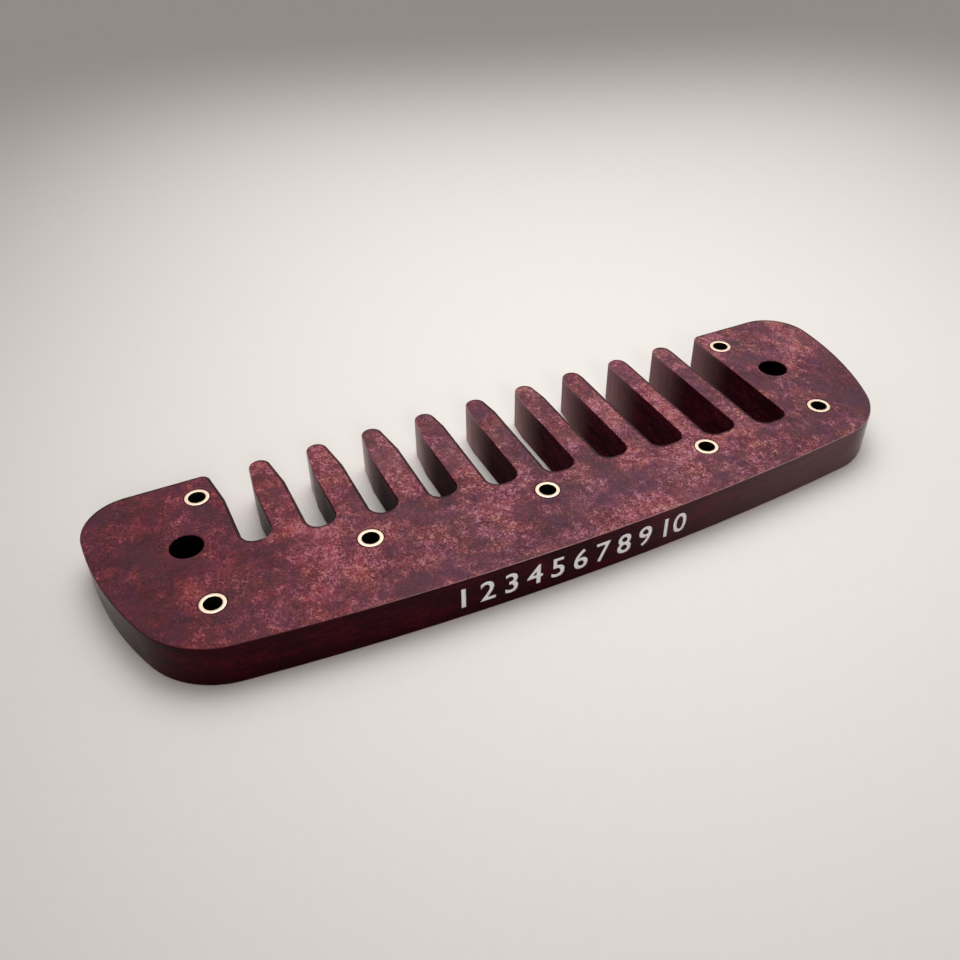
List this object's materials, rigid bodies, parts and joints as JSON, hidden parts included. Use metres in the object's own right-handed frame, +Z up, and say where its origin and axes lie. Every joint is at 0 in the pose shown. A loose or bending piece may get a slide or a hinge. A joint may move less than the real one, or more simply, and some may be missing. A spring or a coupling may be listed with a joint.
{
  "type": "harmonica comb",
  "caption": "Flat slotted comb plate of a mouth organ, with flared reed chambers, rounded ends, flush brass bushings for reed plate screws and open holes for cover bolts.",
  "frame": {"origin": "under the middle of the comb's length and depth, on its lower face", "axes": "+X along the length towards the long chambers, +Y towards the mouth side, +Z up through the thickness"},
  "size_m": [0.1048, 0.0313, 0.0058],
  "materials": {
    "composite": "satin maroon resin composite, mottled with fine orange-brown specks",
    "bushing_brass": "faced flush with the plate, satin"
  },
  "bodies": {
    "root": {"comb": "composite", "bushing_front_left": "bushing_brass", "bushing_front_right": "bushing_brass", "bushing_back_left": "bushing_brass", "bushing_back_right": "bushing_brass", "bushing_middle_left": "bushing_brass", "bushing_middle_center": "bushing_brass", "bushing_middle_right": "bushing_brass"}
  },
  "joints": []
}
